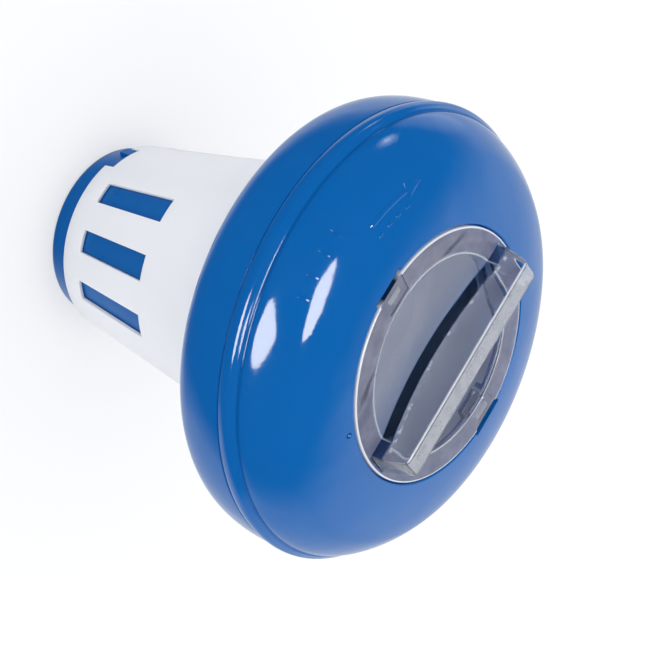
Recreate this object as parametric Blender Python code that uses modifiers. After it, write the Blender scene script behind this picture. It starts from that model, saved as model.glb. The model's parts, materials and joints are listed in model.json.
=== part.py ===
"""Floating chlorine dispenser for swimming pools, 165 mm across.

An annular float of two moulded shells carries a slotted conical basket for
chlorine tablets.  A regulator cup turns inside the basket and opens or closes
its slots, and a clear twist-lock lid with a solid bar handle closes the top.

Units are metres in Blender and millimetres in the constants below (MM scales
them).  +Z is the axis of the object, lid upwards.  The origin is the centre of
the regulator cup's flat base, which is the lowest face.
"""

import math

import bmesh
import bpy
from mathutils import Matrix, Vector

MM = 0.001

# ---------------------------------------------------------------- dimensions
SEGMENTS = 48  # facets round the axis

# float, outside
R_RIM = 82.5  # widest circle, the edge of the rim band
Z_JOINT = 128.7  # parting line between the two float shells
Z_RIM = 132.0  # height of the widest circle
R_JOINT = 81.7
R_DOME_FOOT = 79.8
Z_DOME_FOOT = 136.3
R_SHOULDER = 69.9  # where the dome starts to run in flat
Z_SHOULDER = 149.4
R_CROWN = 50.0
Z_CROWN = 156.0
Z_LIP = 156.35  # edge of the crown beside the lid
R_BELLY = 73.2  # lower shell, where the side turns under
Z_BELLY = 106.7
Z_FLOAT_BOTTOM = 104.2
FLOAT_WALL = 2.0
GAP = 0.4  # running and assembly gap

# neck of the float
R_RECESS = 46.3  # recess that the lid flange sits in
Z_RECESS = 153.3
R_NECK = 39.8  # opening for 76 mm tablets
Z_LEDGE_UNDER = 151.2
R_REBATE = 42.1  # step in the recess floor for the lid's gasket
Z_REBATE = 152.2
R_WELL = 53.7  # bore of the tube round the chamber
WELL_WALL = 2.0
NOTCH_HALF_DEG = 9.3  # entry notches for the lid lugs
R_NOTCH = 47.3
LUG_DEG = (0.0, 180.0)

# chamber basket
R_BASKET_TOP = 53.3
BASKET_WALL = 2.0
CONE_WALL = 1.4
Z_CONE_END = 10.0
R_CONE_END = 35.5
R_CONE_TOP = 50.75  # cone radius where it enters the float
Z_SLOT_LOW, Z_SLOT_HIGH = 19.4, 55.0
SLOT_HALF_DEG = 6.45
SLOT_PITCH_DEG = 30.0
SLOTS_PER_GROUP = 3
GROUPS = 3
STOPS = 2
STOP_DEG = -30.0  # first notch in the basket's lower edge
STOP_HALF_DEG = 11.4
Z_STOP_TOP = 14.5

# regulator cup
CUP_CLEAR = 0.3
CUP_WALL = 1.6
Z_CUP_TOP = 62.5
TRAVEL_DEG = 15.0
TAB_HALF_DEG = 3.5
TAB_REST_DEG = STOP_DEG - TRAVEL_DEG / 2

# lid
R_LID = 45.6
Z_LID_RING = 156.6
R_DISH = 36.3
DISH_DEPTH = 3.8
LID_PLATE = 2.2
LID_FLANGE_UNDER = 153.6
R_SKIRT = 39.3
SKIRT_WALL = 2.1
Z_SKIRT_END = 145.6
BAR_THICK = 9.0
Z_BAR_TOP = 170.0
BAR_HALF_TOP = 41.2
BAR_HALF_FOOT = 44.4
BAR_DRAFT = 0.055  # mm added to each side per mm down from the top
LUG_HALF_DEG = 7.4
R_LUG = 43.4
Z_LUG_LOW, Z_LUG_HIGH = 148.6, 150.8
LOCK_DEG = 40.0

# gasket under the lid's flange
R_GASKET_IN, R_GASKET_OUT = 39.6, 41.8
Z_GASKET_LOW, Z_GASKET_HIGH = 152.5, 153.4


def cone_radius(z):
    """Outer radius of the basket's cone at height z, in mm."""
    share = (z - Z_CONE_END) / (Z_FLOAT_BOTTOM - Z_CONE_END)
    return R_CONE_END + (R_CONE_TOP - R_CONE_END) * share


# ------------------------------------------------------------------- helpers
def clear_scene():
    for obj in list(bpy.data.objects):
        bpy.data.objects.remove(obj, do_unlink=True)


def collection(name):
    made = bpy.data.collections.new(name)
    bpy.context.scene.collection.children.link(made)
    return made


def plastic(name, color, roughness, transmission=0.0):
    made = bpy.data.materials.new(name)
    made.use_nodes = True
    shader = made.node_tree.nodes["Principled BSDF"]
    shader.inputs["Base Color"].default_value = (*color, 1.0)
    shader.inputs["Roughness"].default_value = roughness
    shader.inputs["Metallic"].default_value = 0.0
    shader.inputs["Transmission Weight"].default_value = transmission
    return made


def bezier(p0, p1, p2, p3, count):
    """count + 1 points of a cubic from p0 to p3."""
    points = []
    for i in range(count + 1):
        t = i / count
        a, b, c, d = (1 - t) ** 3, 3 * (1 - t) ** 2 * t, 3 * (1 - t) * t * t, t**3
        points.append(
            (
                a * p0[0] + b * p1[0] + c * p2[0] + d * p3[0],
                a * p0[1] + b * p1[1] + c * p2[1] + d * p3[1],
            )
        )
    return points


def inset(points, wall):
    """The polyline moved by wall to the left of its direction of travel."""
    moved = []
    for i, (x, y) in enumerate(points):
        ax, ay = points[max(i - 1, 0)]
        bx, by = points[min(i + 1, len(points) - 1)]
        dx, dy = bx - ax, by - ay
        size = math.hypot(dx, dy)
        moved.append((x - dy / size * wall, y + dx / size * wall))
    return moved


def add(name, mesh, where, material=None):
    obj = bpy.data.objects.new(name, mesh)
    where.objects.link(obj)
    if material is not None:
        mesh.materials.append(material)
    return obj


def turned(name, profile, where, material=None, closed=True, steps=SEGMENTS):
    """A Screw of the profile, (radius, height) in mm, that runs down its outer side."""
    mesh = bpy.data.meshes.new(name)
    bm = bmesh.new()
    verts = [bm.verts.new((r * MM, 0.0, z * MM)) for r, z in profile]
    for a, b in zip(verts, verts[1:]):
        bm.edges.new((a, b))
    if closed:
        bm.edges.new((verts[-1], verts[0]))
    bm.to_mesh(mesh)
    bm.free()
    obj = add(name, mesh, where, material)
    screw = obj.modifiers.new("Turn", "SCREW")
    screw.axis = "Z"
    screw.angle = math.tau
    screw.steps = screw.render_steps = steps
    screw.use_merge_vertices = True
    screw.merge_threshold = 1e-5
    screw.use_smooth_shade = True
    return obj


def wedge(bm, deg, half_deg, r0, r1, z0, z1):
    """A block between two radii and two heights, its sides on radial planes."""
    made = bmesh.ops.create_cube(bm, size=1.0)["verts"]
    turn = Matrix.Rotation(math.radians(deg), 4, "Z")
    for v in made:
        r = r1 if v.co.x > 0 else r0
        side = math.tan(math.radians(half_deg)) * (1 if v.co.y > 0 else -1)
        v.co = turn @ Vector(
            (r * MM, r * side * MM, (z1 if v.co.z > 0 else z0) * MM)
        )


def block(bm, x0, x1, y0, y1, z0, z1):
    made = bmesh.ops.create_cube(bm, size=1.0)["verts"]
    for v in made:
        v.co = Vector(
            (
                (x1 if v.co.x > 0 else x0) * MM,
                (y1 if v.co.y > 0 else y0) * MM,
                (z1 if v.co.z > 0 else z0) * MM,
            )
        )


def solid_from(name, fill, where, material=None):
    """A mesh object whose bmesh is filled by the function fill."""
    mesh = bpy.data.meshes.new(name)
    bm = bmesh.new()
    fill(bm)
    bm.to_mesh(mesh)
    bm.free()
    return add(name, mesh, where, material)


def boolean(obj, tool, operation):
    """Cuts tool from obj, or joins it, and hides tool as a guide."""
    modifier = obj.modifiers.new(tool.name, "BOOLEAN")
    modifier.operation = operation
    modifier.solver = "EXACT"
    modifier.object = tool
    tool.hide_render = True
    tool.display_type = "WIRE"


# ------------------------------------------------------------------- the float
def upper_float_shell(parts, tools, material):
    rim = [
        (R_JOINT, Z_JOINT + GAP / 2),
        (82.3, 130.6),
        (R_RIM, Z_RIM),
        (82.3, 132.8),
        (80.4, 135.3),
        (79.6, 135.4),
        (79.5, 136.0),
    ]
    side = bezier(
        (R_DOME_FOOT, Z_DOME_FOOT), (79.4, 139.4), (74.2, 146.4), (R_SHOULDER, Z_SHOULDER), 5
    )
    top = bezier(
        (R_SHOULDER, Z_SHOULDER), (64.4, 153.0), (56.6, 155.2), (R_CROWN, Z_CROWN), 5
    )
    lip = [(46.9, Z_LIP), (R_RECESS, Z_LIP - 0.4), (R_RECESS, Z_RECESS)]
    neck = [
        (R_REBATE, Z_RECESS),
        (R_REBATE, Z_REBATE),
        (R_NECK, Z_REBATE),
        (R_NECK, Z_LEDGE_UNDER),
    ]
    outer = rim + side + top[1:] + lip + neck
    well_out = R_WELL + WELL_WALL
    z_well_end = Z_FLOAT_BOTTOM + FLOAT_WALL + GAP
    under = [
        (R_WELL, Z_LEDGE_UNDER),
        (R_WELL, z_well_end),
        (well_out, z_well_end),
        (well_out, Z_CROWN - FLOAT_WALL - 0.3),
    ]
    skin = (side + top[1:])[1:-1]
    inner = [p for p in inset(skin, FLOAT_WALL) if p[0] > well_out + 1.0][::-1]
    skirt = [(R_DOME_FOOT - FLOAT_WALL - 0.2, 136.0), (79.6, 133.4), (79.6, Z_JOINT + GAP / 2)]
    profile = (outer + under + inner + skirt)[::-1]
    shell = turned("upper_float_shell", profile, parts, material)

    def notches(bm):
        for deg in LUG_DEG:
            wedge(bm, deg, NOTCH_HALF_DEG, R_NECK - 4, R_NOTCH, Z_LEDGE_UNDER - 1, Z_CROWN + 2)

    boolean(shell, solid_from("lug_entries", notches, tools), "DIFFERENCE")

    def stops(bm):
        # a rib under the ledge at each end of the lug's travel
        for deg in LUG_DEG:
            for at in (LUG_HALF_DEG + 3.4, -LOCK_DEG - LUG_HALF_DEG - 1.6):
                wedge(bm, deg + at, 1.2, R_NECK + 0.8, R_LUG, Z_LUG_LOW, Z_LEDGE_UNDER + 1.0)

    boolean(shell, solid_from("lug_stops", stops, tools), "UNION")
    return shell


def lower_float_shell(parts, tools, material):
    # side as a quarter superellipse from the joint down and under
    side = []
    for i in range(9):
        a = math.radians(90 * i / 8)
        side.append(
            (
                R_BELLY - 3.0 + (R_JOINT - R_BELLY + 3.0) * math.cos(a) ** 0.85,
                Z_JOINT - GAP / 2 - (Z_JOINT - Z_BELLY + 1.7) * math.sin(a) ** 0.85,
            )
        )
    bottom = [(64.0, Z_FLOAT_BOTTOM + 0.1), (60.0, Z_FLOAT_BOTTOM)]
    mouth = R_CONE_TOP + GAP
    lip = [
        (mouth, Z_FLOAT_BOTTOM),
        (mouth, Z_FLOAT_BOTTOM + FLOAT_WALL),
    ]
    collar_in = R_WELL + WELL_WALL + GAP
    collar = [
        (collar_in, Z_FLOAT_BOTTOM + FLOAT_WALL),
        (collar_in, 116.0),
        (collar_in + 1.8, 116.0),
        (collar_in + 1.8, Z_FLOAT_BOTTOM + FLOAT_WALL + 0.2),
    ]
    inner = inset(side[::-1], FLOAT_WALL)[1:-1]
    spigot = [(79.2 - 1.8, Z_JOINT - 2.0), (77.4, 132.6), (79.2, 132.6), (79.2, Z_JOINT - GAP / 2)]
    inner = [p for p in [(x, y) for x, y in inset(side, -FLOAT_WALL)][::-1] if 60.0 < p[0] < 77.6 and p[1] < Z_JOINT - 3]
    profile = side + bottom + lip + collar + [(62.0, Z_FLOAT_BOTTOM + FLOAT_WALL + 0.2)] + inner + spigot
    return turned("lower_float_shell", profile, parts, material)


# ------------------------------------------------------------ chamber and cup
def slot_angles():
    """The middle angle of each slot: groups of three, then one blank place."""
    step = 360.0 / GROUPS
    return [g * step + i * SLOT_PITCH_DEG for g in range(GROUPS) for i in range(SLOTS_PER_GROUP)]


def stop_angles(first):
    return [first + g * 360.0 / STOPS for g in range(STOPS)]


def chamber_basket(parts, tools, material):
    z_shoulder = Z_FLOAT_BOTTOM + FLOAT_WALL + GAP
    profile = [
        (R_BASKET_TOP, Z_LEDGE_UNDER - 0.5),
        (R_BASKET_TOP, z_shoulder),
        (cone_radius(z_shoulder), z_shoulder),
        (R_CONE_TOP, Z_FLOAT_BOTTOM),
        (R_CONE_END, Z_CONE_END),
        (R_CONE_END - CONE_WALL, Z_CONE_END),
        (cone_radius(z_shoulder - 2.0) - CONE_WALL, z_shoulder - 2.0),
        (R_BASKET_TOP - BASKET_WALL, z_shoulder + 1.6),
        (R_BASKET_TOP - BASKET_WALL, Z_LEDGE_UNDER - 0.5),
    ]
    basket = turned("chamber_basket", profile, parts, material)

    def windows(bm):
        for deg in slot_angles():
            wedge(bm, deg, SLOT_HALF_DEG, 25.0, 60.0, Z_SLOT_LOW, Z_SLOT_HIGH)
        for deg in stop_angles(STOP_DEG):
            wedge(bm, deg, STOP_HALF_DEG, 25.0, 60.0, Z_CONE_END - 4.0, Z_STOP_TOP)

    boolean(basket, solid_from("basket_windows", windows, tools), "DIFFERENCE")
    return basket


def regulator_cup(parts, tools, material):
    def outer(z):
        return cone_radius(z) - CONE_WALL - CUP_CLEAR

    floor = 2.0
    profile = [
        (outer(Z_CUP_TOP), Z_CUP_TOP),
        (outer(2.2), 2.2),
        (outer(1.2) - 0.15, 1.0),
        (outer(0.0) - 0.7, 0.25),
        (outer(0.0) - 1.5, 0.0),
        (24.0, 0.0),
        (23.2, 0.8),
        (0.0, 0.8),
        (0.0, 0.8 + floor),
        (outer(3.5) - CUP_WALL - 2.0, 0.8 + floor),
        (outer(5.0) - CUP_WALL, 5.0),
        (outer(Z_CUP_TOP) - CUP_WALL, Z_CUP_TOP),
    ]
    # starts and ends on the axis, so the loop is cut open there
    start = profile.index((0.0, 0.8 + floor))
    loop = profile[start:] + profile[:start]
    cup = turned("regulator_cup", loop, parts, material, closed=False)

    def windows(bm):
        for deg in slot_angles():
            wedge(bm, deg - TRAVEL_DEG, SLOT_HALF_DEG, 25.0, 60.0, Z_SLOT_LOW, Z_SLOT_HIGH)

    boolean(cup, solid_from("cup_windows", windows, tools), "DIFFERENCE")

    def tabs(bm):
        for deg in stop_angles(TAB_REST_DEG):
            wedge(bm, deg, TAB_HALF_DEG, outer(11.0) - 1.0, R_CONE_END - 0.2, 8.4, Z_STOP_TOP - 0.5)

    boolean(cup, solid_from("cup_stop_tabs", tabs, tools), "UNION")
    return cup


# ----------------------------------------------------------------------- lid
def lid(parts, tools, material):
    def dish(r, drop=0.0):
        return Z_LID_RING - DISH_DEPTH * (1 - (r / R_DISH) ** 2) - drop

    rings = [R_DISH * i / 5 for i in range(6)]
    top = [(r, dish(r)) for r in rings]
    rim = [
        (45.1, Z_LID_RING),
        (R_LID, Z_LID_RING - 0.5),
        (R_LID, LID_FLANGE_UNDER + 0.3),
        (R_LID - 0.3, LID_FLANGE_UNDER),
    ]
    skirt = [
        (R_SKIRT, LID_FLANGE_UNDER),
        (R_SKIRT, Z_SKIRT_END + 0.5),
        (R_SKIRT - 0.5, Z_SKIRT_END),
        (0.0, Z_SKIRT_END),
    ]
    body = turned("lid", top + rim + skirt, parts, material, closed=False)

    def bar(bm):
        corner = 2.6
        outline = [
            (-BAR_HALF_FOOT, 155.0),
            (-BAR_HALF_TOP - 0.45, Z_BAR_TOP - corner),
            (-BAR_HALF_TOP + 0.3, Z_BAR_TOP - 0.75),
            (-BAR_HALF_TOP + corner, Z_BAR_TOP),
            (BAR_HALF_TOP - corner, Z_BAR_TOP),
            (BAR_HALF_TOP - 0.3, Z_BAR_TOP - 0.75),
            (BAR_HALF_TOP + 0.45, Z_BAR_TOP - corner),
            (BAR_HALF_FOOT, 155.0),
            (R_DISH - 1.0, 155.0),
            (R_DISH - 1.0, 147.0),
            (-R_DISH + 1.0, 147.0),
            (-R_DISH + 1.0, 155.0),
        ]
        half = BAR_THICK / 2
        face = bm.faces.new([bm.verts.new((-half * MM, y * MM, z * MM)) for y, z in outline])
        moved = bmesh.ops.extrude_face_region(bm, geom=[face])["geom"]
        bmesh.ops.translate(
            bm,
            vec=(BAR_THICK * MM, 0, 0),
            verts=[v for v in moved if isinstance(v, bmesh.types.BMVert)],
        )
        for v in bm.verts:
            v.co.x *= 1.0 + BAR_DRAFT * (Z_BAR_TOP - v.co.z / MM) / half
        bmesh.ops.recalc_face_normals(bm, faces=bm.faces)
        edges = [
            e
            for e in bm.edges
            if e.verts[0].co.x * e.verts[1].co.x > 0
            and min(v.co.z for v in e.verts) > 154.9 * MM
            and max(v.co.z for v in e.verts) > 156.0 * MM
        ]
        bmesh.ops.bevel(
            bm, geom=edges, offset=0.7 * MM, offset_type="OFFSET", segments=2, profile=0.5, affect="EDGES"
        )

    def gate(bm):
        block(bm, -BAR_THICK / 2 - 1, -BAR_THICK / 2 + 1.3, -5.2, -1.9, Z_BAR_TOP - 1.0, Z_BAR_TOP + 1)

    handle = solid_from("handle_bar", bar, tools)
    boolean(handle, solid_from("handle_gate_mark", gate, tools), "DIFFERENCE")
    boolean(body, handle, "UNION")
    hollow = [(r, dish(r, LID_PLATE)) for r in rings] + [
        (R_SKIRT - SKIRT_WALL, dish(R_DISH, LID_PLATE)),
        (R_SKIRT - SKIRT_WALL, Z_SKIRT_END - 2.0),
        (0.0, Z_SKIRT_END - 2.0),
    ]
    boolean(body, turned("lid_hollow", hollow, tools, closed=False), "DIFFERENCE")

    def lugs(bm):
        for deg in LUG_DEG:
            wedge(bm, deg, LUG_HALF_DEG, R_SKIRT - 1.0, R_LUG, Z_LUG_LOW, Z_LUG_HIGH)

    boolean(body, solid_from("lid_lugs", lugs, tools), "UNION")

    def gaps(bm):
        for deg in LUG_DEG:
            # the lip is cut back over each lug, and a window lets the mould reach it
            wedge(bm, deg, NOTCH_HALF_DEG - 0.8, R_DISH + 1.0, 50.0, Z_LID_RING - 0.5, Z_LID_RING + 2)
            wedge(bm, deg, 4.6, 39.9, 42.6, LID_FLANGE_UNDER - 1, Z_LID_RING + 1)

    boolean(body, solid_from("lug_windows", gaps, tools), "DIFFERENCE")

    def rim_flats(bm):
        for deg in LUG_DEG:
            wedge(bm, deg, NOTCH_HALF_DEG - 0.8, R_LID - 0.9, 50.0, LID_FLANGE_UNDER - 2, Z_LID_RING + 2)

    boolean(body, solid_from("rim_flats", rim_flats, tools), "DIFFERENCE")

    return body


def lid_gasket(parts, material):
    low, high = Z_GASKET_LOW, Z_GASKET_HIGH
    middle = (low + high) / 2
    profile = [
        (R_GASKET_OUT - 0.3, high),
        (R_GASKET_OUT, middle),
        (R_GASKET_OUT - 0.3, low),
        (R_GASKET_IN + 0.2, low),
        (R_GASKET_IN, middle),
        (R_GASKET_IN + 0.2, high),
    ]
    return turned("lid_gasket", profile, parts, material)


def main():
    clear_scene()
    parts = collection("floating_chlorine_dispenser")
    tools = collection("cutters")
    blue = plastic("blue_float_plastic", (0.003, 0.115, 0.42), 0.16)
    cup_blue = plastic("blue_regulator_plastic", (0.003, 0.105, 0.38), 0.28)
    white = plastic("white_basket_plastic", (0.83, 0.84, 0.87), 0.42)
    clear = plastic("clear_lid_plastic", (0.72, 0.75, 0.84), 0.06, 0.9)
    rubber = plastic("gasket_rubber", (0.34, 0.36, 0.42), 0.6)
    made = [
        upper_float_shell(parts, tools, blue),
        lower_float_shell(parts, tools, blue),
        chamber_basket(parts, tools, white),
        regulator_cup(parts, tools, cup_blue),
        lid_gasket(parts, rubber),
        lid(parts, tools, clear),
    ]
    # the cup turns and the lid lifts and turns on the object's axis
    for obj in made[3:]:
        pivot = bpy.data.objects.new(obj.name + "_axis", None)
        pivot.empty_display_size = 0.02
        parts.objects.link(pivot)
        obj.parent = pivot


main()
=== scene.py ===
"""Looks of the floating chlorine dispenser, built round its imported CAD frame.

Every node gets a finely divided mesh of the same profile as its CAD solid, with
rounded edges, and a procedural material.  Lengths in the helpers are in
millimetres; MM turns them into metres.
"""

import json
import math

import bmesh
import bpy
from mathutils import Matrix, Vector

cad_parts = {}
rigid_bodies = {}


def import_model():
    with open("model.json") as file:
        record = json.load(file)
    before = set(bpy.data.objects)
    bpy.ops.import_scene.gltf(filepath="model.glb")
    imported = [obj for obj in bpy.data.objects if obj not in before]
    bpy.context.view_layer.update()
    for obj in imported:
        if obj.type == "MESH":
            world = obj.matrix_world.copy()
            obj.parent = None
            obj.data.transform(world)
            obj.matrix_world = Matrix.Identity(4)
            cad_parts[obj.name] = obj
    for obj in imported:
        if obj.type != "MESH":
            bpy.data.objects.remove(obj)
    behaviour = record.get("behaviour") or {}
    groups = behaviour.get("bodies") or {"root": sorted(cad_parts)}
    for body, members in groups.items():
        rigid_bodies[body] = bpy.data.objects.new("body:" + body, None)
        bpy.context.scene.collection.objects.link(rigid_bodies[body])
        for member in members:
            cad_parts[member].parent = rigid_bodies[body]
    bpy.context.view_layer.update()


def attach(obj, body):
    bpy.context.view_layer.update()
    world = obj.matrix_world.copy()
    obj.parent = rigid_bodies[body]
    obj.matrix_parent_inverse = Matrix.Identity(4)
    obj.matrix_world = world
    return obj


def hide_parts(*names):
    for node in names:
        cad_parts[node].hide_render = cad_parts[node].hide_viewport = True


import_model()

MM = 0.001
scene = bpy.context.scene
tools = bpy.data.collections.new("tools")
scene.collection.children.link(tools)

# ------------------------------------------------------------------ dimensions
Z_JOINT = 128.7
Z_FLOAT_BOTTOM = 104.2
R_WELL = 53.7
R_CROWN, Z_CROWN = 50.0, 156.0
R_SHOULDER, Z_SHOULDER = 69.9, 149.4
R_RECESS, Z_RECESS = 46.3, 153.3
R_NECK = 39.8
Z_LEDGE_UNDER = 151.2
R_REBATE, Z_REBATE = 42.1, 152.2
NOTCH_HALF = 9.3
R_NOTCH = 47.3

Z_CONE_END, R_CONE_END, R_CONE_TOP = 10.0, 35.5, 50.75
CONE_WALL, BASKET_WALL, R_BASKET_TOP = 1.4, 2.0, 53.3
Z_SLOT_LOW, Z_SLOT_HIGH, SLOT_HALF = 19.4, 55.0, 6.45
SLOTS = [g * 120.0 + i * 30.0 for g in range(3) for i in range(3)]
STOPS = [-30.0, 150.0]
STOP_HALF, Z_STOP_TOP = 11.4, 14.5

CUP_WALL, CUP_CLEAR, Z_CUP_TOP = 1.6, 0.3, 62.5
TRAVEL = 15.0
TAB_HALF = 3.5

R_LID, Z_LID_RING = 45.6, 156.6
R_DISH, DISH_DEPTH, LID_PLATE = 36.3, 3.8, 2.2
FLANGE_UNDER = 153.6
R_SKIRT, SKIRT_WALL, Z_SKIRT_END = 39.3, 2.1, 145.6
BAR_THICK, Z_BAR_TOP, BAR_HALF_TOP, BAR_HALF_FOOT = 9.0, 170.0, 41.2, 44.4
LUG_HALF, R_LUG = 7.4, 43.4
Z_LUG = (148.6, 150.8)
LOCK = 40.0


def cone_radius(z):
    share = (z - Z_CONE_END) / (Z_FLOAT_BOTTOM - Z_CONE_END)
    return R_CONE_END + (R_CONE_TOP - R_CONE_END) * share


# --------------------------------------------------------------------- helpers
def bezier(p0, p1, p2, p3, count):
    points = []
    for i in range(count + 1):
        t = i / count
        a, b, c, d = (1 - t) ** 3, 3 * (1 - t) ** 2 * t, 3 * (1 - t) * t * t, t**3
        points.append(tuple(a * p0[k] + b * p1[k] + c * p2[k] + d * p3[k] for k in (0, 1)))
    return points


def rounded(points, radii, steps=4):
    """The polyline with each corner i replaced by an arc of radius radii[i] (0 keeps it)."""
    made = []
    count = len(points)
    for i, (x, y) in enumerate(points):
        radius = radii.get(i, 0.0)
        if radius <= 0 or i in (0, count - 1):
            made.append((x, y))
            continue
        p, a, b = Vector((x, y)), Vector(points[i - 1]), Vector(points[i + 1])
        u, v = (a - p), (b - p)
        lu, lv = u.length, v.length
        u.normalize()
        v.normalize()
        half = math.acos(max(-1.0, min(1.0, u.dot(v)))) / 2
        if half > math.radians(87):
            made.append((x, y))
            continue
        back = min(radius / math.tan(half), 0.48 * lu, 0.48 * lv)
        radius = back * math.tan(half)
        centre = p + (u + v).normalized() * (radius / math.sin(half))
        start, end = p + u * back - centre, p + v * back - centre
        turn = start.angle_signed(end)
        for k in range(steps + 1):
            c = start.copy()
            c.rotate(Matrix.Rotation(-turn * k / steps, 2))
            made.append(tuple(centre + c))
    return made


def new_object(name, bm, where=None):
    mesh = bpy.data.meshes.new(name)
    bm.to_mesh(mesh)
    bm.free()
    obj = bpy.data.objects.new(name, mesh)
    (where or scene.collection).objects.link(obj)
    return obj


def turned(name, loop, steps, closed=True, where=None):
    """Revolves a (radius, height) loop that runs clockwise (down its outer side)."""
    bm = bmesh.new()
    rings = []
    for r, z in loop:
        if r < 1e-6:
            rings.append([bm.verts.new((0, 0, z * MM))])
        else:
            rings.append(
                [
                    bm.verts.new(
                        (
                            r * MM * math.cos(math.tau * k / steps),
                            r * MM * math.sin(math.tau * k / steps),
                            z * MM,
                        )
                    )
                    for k in range(steps)
                ]
            )
    pairs = list(zip(rings, rings[1:]))
    if closed:
        pairs.append((rings[-1], rings[0]))
    for a, b in pairs:
        if len(a) == 1 and len(b) == 1:
            continue
        for k in range(steps):
            n = (k + 1) % steps
            quad = [a[k % len(a)], b[k % len(b)], b[n % len(b)], a[n % len(a)]]
            unique = []
            for v in quad:
                if v not in unique:
                    unique.append(v)
            bm.faces.new(unique)
    bmesh.ops.recalc_face_normals(bm, faces=bm.faces)
    return new_object(name, bm, where)


def thick_sheet(name, outer, inner, columns, missing, where=None):
    """A turned wall with windows.

    outer and inner are matching lists of (radius, height) from the top down,
    columns are angles in degrees round the axis, and missing(z, degrees) says
    whether the cell at that height and angle is a window.
    """
    bm = bmesh.new()
    n, m = len(columns), len(outer)

    def ring(points, k):
        r, z = points[k]
        if r < 1e-6:
            v = bm.verts.new((0, 0, z * MM))
            return [v] * n
        return [
            bm.verts.new((r * MM * math.cos(math.radians(a)), r * MM * math.sin(math.radians(a)), z * MM))
            for a in columns
        ]

    out = [ring(outer, k) for k in range(m)]
    inn = [ring(inner, k) for k in range(m)]
    centre = []
    for j in range(n):
        a, b = columns[j], columns[(j + 1) % n]
        if b < a:
            b += 360.0
        centre.append((a + b) / 2)
    solid = [
        [not missing((outer[k][1] + outer[k + 1][1]) / 2, centre[j]) for j in range(n)]
        for k in range(m - 1)
    ]

    def face(*verts):
        unique = []
        for v in verts:
            if v not in unique:
                unique.append(v)
        if len(unique) > 2:
            bm.faces.new(unique)

    for k in range(m - 1):
        for j in range(n):
            if not solid[k][j]:
                continue
            i = (j + 1) % n
            face(out[k][j], out[k + 1][j], out[k + 1][i], out[k][i])
            face(inn[k][i], inn[k + 1][i], inn[k + 1][j], inn[k][j])
            if k == 0 or not solid[k - 1][j]:
                face(out[k][j], out[k][i], inn[k][i], inn[k][j])
            if k == m - 2 or not solid[k + 1][j]:
                if outer[k + 1][0] > 1e-6:
                    face(out[k + 1][i], out[k + 1][j], inn[k + 1][j], inn[k + 1][i])
            if not solid[k][j - 1]:
                face(out[k][j], inn[k][j], inn[k + 1][j], out[k + 1][j])
            if not solid[k][i]:
                face(out[k][i], out[k + 1][i], inn[k + 1][i], inn[k][i])
    loose = [v for v in bm.verts if not v.link_faces]
    bmesh.ops.delete(bm, geom=loose, context="VERTS")
    bmesh.ops.recalc_face_normals(bm, faces=bm.faces)
    return new_object(name, bm, where)


def columns_with(edges, step):
    """Angles every step degrees, with each of edges in place of its nearest one."""
    angles = [i * step for i in range(int(round(360 / step)))]
    for e in edges:
        e %= 360.0
        near = min(range(len(angles)), key=lambda i: abs((angles[i] - e + 180) % 360 - 180))
        angles[near] = e
    angles.sort()
    apart = [a for i, a in enumerate(angles) if i == 0 or a - angles[i - 1] > 0.01]
    return apart[1:] if apart[0] + 360.0 - apart[-1] < 0.01 else apart


def levels(points, marks, step):
    """The (radius, height) line divided at marks and every step mm."""
    made = []
    for (r0, z0), (r1, z1) in zip(points, points[1:]):
        length = math.hypot(r1 - r0, z1 - z0)
        shares = {0.0}
        for i in range(1, max(1, int(length / step))):
            shares.add(i / max(1, int(length / step)))
        for mark in marks:
            if min(z0, z1) < mark < max(z0, z1):
                t = (z0 - mark) / (z0 - z1)
                shares = {s for s in shares if abs(s - t) * length > 0.35 * step or s == 0.0}
                shares.add(t)
        for s in sorted(shares):
            made.append((r0 + (r1 - r0) * s, z0 + (z1 - z0) * s))
    made.append(points[-1])
    return made


def wedge(bm, deg, half, r0, r1, z0, z1):
    made = bmesh.ops.create_cube(bm, size=1.0)["verts"]
    c, s = round(math.cos(math.radians(deg)), 12), round(math.sin(math.radians(deg)), 12)
    for v in made:
        r = r1 if v.co.x > 0 else r0
        side = r * math.tan(math.radians(half)) * (1 if v.co.y > 0 else -1)
        v.co = ((r * c - side * s) * MM, (r * s + side * c) * MM, (z1 if v.co.z > 0 else z0) * MM)
    return made


def tool(name, fill):
    bm = bmesh.new()
    fill(bm)
    obj = new_object(name, bm, tools)
    obj.hide_render = True
    obj.hide_viewport = False
    obj.display_type = "WIRE"
    return obj


def boolean(obj, other, operation):
    modifier = obj.modifiers.new(other.name, "BOOLEAN")
    modifier.operation = operation
    modifier.solver = "EXACT"
    modifier.object = other
    return modifier


def baked(obj, name=None):
    """The object's evaluated mesh as its own mesh, without modifiers."""
    bpy.context.view_layer.update()
    depsgraph = bpy.context.evaluated_depsgraph_get()
    mesh = bpy.data.meshes.new_from_object(obj.evaluated_get(depsgraph))
    bm = bmesh.new()
    bm.from_mesh(mesh)
    bmesh.ops.remove_doubles(bm, verts=bm.verts, dist=0.0015 * MM)
    bmesh.ops.delete(bm, geom=[e for e in bm.edges if not e.link_faces], context="EDGES")
    bmesh.ops.delete(bm, geom=[v for v in bm.verts if not v.link_faces], context="VERTS")
    bm.to_mesh(mesh)
    bm.free()
    obj.modifiers.clear()
    obj.data = mesh
    if name:
        obj.name = name
    return obj


def soften(obj, width, angle=35.0, segments=2):
    """Small rounds on the edges sharper than angle degrees, and smooth shading."""
    if width > 0:
        modifier = obj.modifiers.new("Rounds", "BEVEL")
        modifier.width = width * MM
        modifier.segments = segments
        modifier.limit_method = "ANGLE"
        modifier.angle_limit = math.radians(angle)
        modifier.use_clamp_overlap = True
        baked(obj)
    shade(obj, 40.0)


def shade(obj, angle):
    obj.data.shade_smooth()
    obj.data.set_sharp_from_angle(angle=math.radians(angle))


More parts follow.
